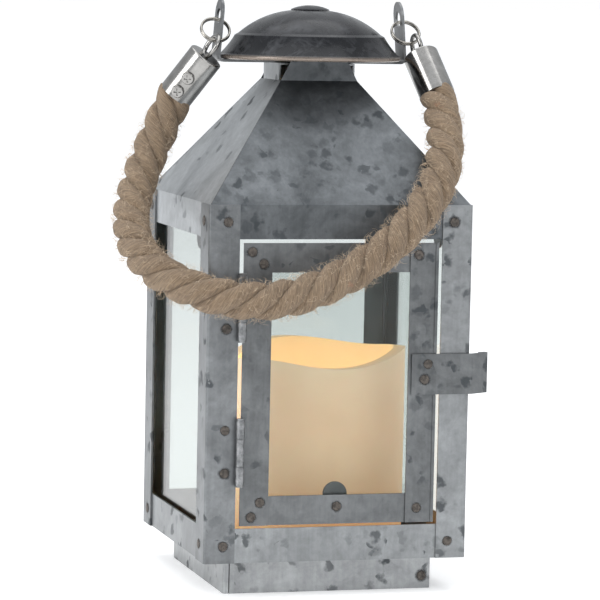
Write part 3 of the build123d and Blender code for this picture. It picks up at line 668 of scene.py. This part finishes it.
# ---- finishes of the frame's own pieces ---------------------------------------------
finish_of = {
    zinc_roof_painted_shading: ["roof_front", "roof_rear"],
    zinc_side_painted_shading: ["roof_left", "roof_right"],
    zinc_post_painted_shading: ["post_front_left", "post_rear_left", "post_rear_right"],
    zinc_plinth_painted_shading: ["plinth"],
    zinc_base_painted_shading: [
        "post_front_right",
        "base_plate",
        "floor_tray",
        "rail_front",
        "rail_rear",
        "rail_left",
        "rail_right",
    ],
    zinc_door_painted_shading: ["door_stile_left", "door_stile_right", "door_rail_bottom", "door_rail_top", "latch"],
    zinc_strap_painted_shading: ["handle_strap"],
    cap_finish: ["cap", "cap_rivet"],
    nickel: [
        "ferrule_left",
        "ferrule_right",
        "ferrule_screws_left",
        "ferrule_screws_right",
        "eye_left",
        "eye_right",
    ],
    ring_wire: ["ring_left", "ring_right"],
    spring: ["glass_clips", "door_clip"],
    hinge_zinc: [
        "hinge_leaf_lower",
        "hinge_leaf_upper",
        "door_leaf_lower",
        "door_leaf_upper",
        "hinge_pin_lower",
        "hinge_pin_upper",
    ],
    weld_steel: ["body_welds", "door_welds"],
    glass: ["glass_left", "glass_right", "glass_rear", "door_glass"],
    wax: ["candle_shell"],
    flame: ["candle_flame"],
    board_green: ["led_board"],
    box_white: ["battery_box", "battery_hatch"],
    cell_sleeve: ["batteries"],
    contact_brass: ["battery_contacts"],
    switch_black: ["candle_switch"],
}
for finish, names in finish_of.items():
    for name in names:
        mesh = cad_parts[name].data
        mesh.materials.clear()
        mesh.materials.append(finish)

# ---- heat marks ---------------------------------------------------------------------
scorch_r = 0.0027
scorch_sides = 20
scorch_lift = 0.00006  # off the sheet that the weld sits on


def loose_parts(name):
    """The middle and the size of each separate solid of a node, in a fixed order."""
    work = bmesh.new()
    work.from_mesh(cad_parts[name].data)
    bmesh.ops.remove_doubles(work, verts=work.verts, dist=1e-6)
    left, parts = set(work.verts), []
    while left:
        stack, seen = [left.pop()], []
        while stack:
            vert = stack.pop()
            seen.append(vert.co.copy())
            for edge in vert.link_edges:
                other = edge.other_vert(vert)
                if other in left:
                    left.remove(other)
                    stack.append(other)
        low = Vector([min(p[i] for p in seen) for i in range(3)])
        high = Vector([max(p[i] for p in seen) for i in range(3)])
        parts.append(((low + high) / 2, high - low))
    work.free()
    return sorted(parts, key=lambda part: tuple(round(v, 5) for v in part[0]))


def scorch_marks(name, welds, body):
    """One soft dark ring on the sheet round each spot weld."""
    mesh = bmesh.new()
    uv = mesh.loops.layers.uv.new("disc")
    chance = Random(len(name))
    turns = [2 * pi * i / scorch_sides for i in range(scorch_sides + 1)]
    upward = Vector((0, 0, 1))
    for centre, size in loose_parts(welds):
        flat = min(range(3), key=lambda i: size[i])
        way = Vector((0, 0, 0))
        way[flat] = 1 if centre[flat] > 0 else -1
        across = upward.cross(way)
        radius = scorch_r * chance.uniform(0.85, 1.2)
        start = centre - way * (size[flat] / 2 - scorch_lift)
        hub = mesh.verts.new(start)
        rim = []
        for turn in turns[:-1]:
            rim.append(mesh.verts.new(start + radius * (cos(turn) * across + sin(turn) * upward)))
        for i, (near, far) in enumerate(zip(turns, turns[1:])):
            face = mesh.faces.new((hub, rim[i], rim[(i + 1) % scorch_sides]))
            for loop, end in zip(face.loops, ((0, 0), (cos(near), sin(near)), (cos(far), sin(far)))):
                loop[uv].uv = end
    done = bpy.data.meshes.new(name)
    mesh.to_mesh(done)
    mesh.free()
    done.materials.append(scorch)
    marks = link(name, done)
    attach(marks, body)


scorch_marks("body_weld_scorch", "body_welds", "lantern")
scorch_marks("door_weld_scorch", "door_welds", "door")

# ---- loose fibres of the rope -------------------------------------------------------
fibre_count = 3000
fibre_r = 0.00008
fibre_root = 0.0070  # from the rope's middle, just under the strands' skin
fibre_end_gap = 12  # route points left bare at each ferrule
fibre_steps = 4
fibre_corners = (0, 2.1, 4.2)  # angles of the three sides


def fibre_path(draw):
    """Points along one bent hair that stands out of the rope."""
    at = draw.randrange(fibre_end_gap, len(rope_places) - fibre_end_gap)
    place = rope_places[at][0]
    ahead, side, over = rope_axes[at]
    turn = draw.uniform(0, 2 * pi)
    away = cos(turn) * side + sin(turn) * over
    lean = ahead * draw.uniform(-1.2, 1.2) + ahead.cross(away) * draw.uniform(-1.0, 1.0)
    bow = away.cross(lean).normalized() * draw.uniform(-0.0012, 0.0012)
    size = draw.uniform(0.0016, 0.0046)
    start = place + away * fibre_root
    path = []
    for k in range(fibre_steps + 1):
        t = k / fibre_steps
        path.append(start + size * t * (away * (1 - 0.45 * t) + lean * 0.7 * t) + bow * sin(pi * t))
    return path


def add_fibre(mesh, path):
    """A thin three-sided hair along the path, tapering towards its end."""
    rows = []
    for k, point in enumerate(path):
        forward = (path[min(k + 1, fibre_steps)] - path[max(k - 1, 0)]).normalized()
        one = forward.orthogonal().normalized()
        two = forward.cross(one)
        radius = fibre_r * (1 - 0.18 * k)
        row = []
        for corner in fibre_corners:
            row.append(mesh.verts.new(point + radius * (cos(corner) * one + sin(corner) * two)))
        rows.append(row)
    for low, high in zip(rows, rows[1:]):
        for j in range(3):
            mesh.faces.new((low[j], low[(j + 1) % 3], high[(j + 1) % 3], high[j]))
    mesh.faces.new(rows[0][::-1])
    mesh.faces.new(rows[-1])


draw = Random(7)
fuzz = bmesh.new()
for _ in range(fibre_count):
    add_fibre(fuzz, fibre_path(draw))
fuzz_mesh = bpy.data.meshes.new("rope_fuzz")
fuzz.to_mesh(fuzz_mesh)
fuzz.free()
fuzz_mesh.materials.append(fluff)
rope_fuzz = link("rope_fuzz", fuzz_mesh)
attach(rope_fuzz, "handle")

# ---- floor and light ----------------------------------------------------------------
bpy.ops.object.select_all(action="DESELECT")
bpy.ops.mesh.primitive_plane_add(size=90, location=(0, 0, 0))
floor = bpy.context.object
floor.name = "floor"
paper = material(
    "pale_floor",
    Base_Color=(0.9, 0.9, 0.9),
    Roughness=0.9,
    Emission_Color=(1.0, 1.0, 1.0),
    Emission_Strength=0.3,
)[0]
floor.data.materials.append(paper)


def studio():
    """A soft grey room for reflections, which the camera itself sees as white."""
    world = bpy.data.worlds.new("studio")
    world.use_nodes = True
    bpy.context.scene.world = world
    nodes = Nodes(world.node_tree)
    backdrop = world.node_tree.nodes["Background"]
    backdrop.inputs["Strength"].default_value = 1.0
    height = nodes.split(nodes.add("ShaderNodeTexCoord").outputs["Generated"])[2]
    room = nodes.ramp(
        nodes.math("MULTIPLY_ADD", height, 0.5, 0.5),
        (
            (0.0, (0.55, 0.56, 0.57)),
            (0.48, (0.30, 0.31, 0.32)),
            (0.62, (0.62, 0.64, 0.66)),
            (1.0, (0.95, 0.97, 1.0)),
        ),
        True,
    )
    seen = nodes.add("ShaderNodeLightPath").outputs["Is Camera Ray"]
    nodes.join(nodes.mix(seen, room, (1.0, 1.0, 1.0)), backdrop.inputs["Color"])


def softbox(name, place, target, size, power):
    """An area light that looks at a point."""
    data = bpy.data.lights.new(name, "AREA")
    data.shape = "RECTANGLE"
    data.size, data.size_y = size
    data.energy = power
    lamp = link(name, data)
    lamp.location = place
    lamp.rotation_euler = (Vector(target) - Vector(place)).to_track_quat("-Z", "Y").to_euler()


studio()
bpy.context.scene.view_settings.view_transform = "Standard"
softbox("left_box", (-1.5, -0.5, 0.9), (0, 0, 0.13), (0.9, 1.2), 16)
softbox("front_box", (0.5, -1.7, 1.1), (0, 0, 0.12), (1.0, 0.8), 8)
softbox("top_box", (0.0, 0.2, 1.6), (0, 0, 0.1), (1.4, 1.4), 10)
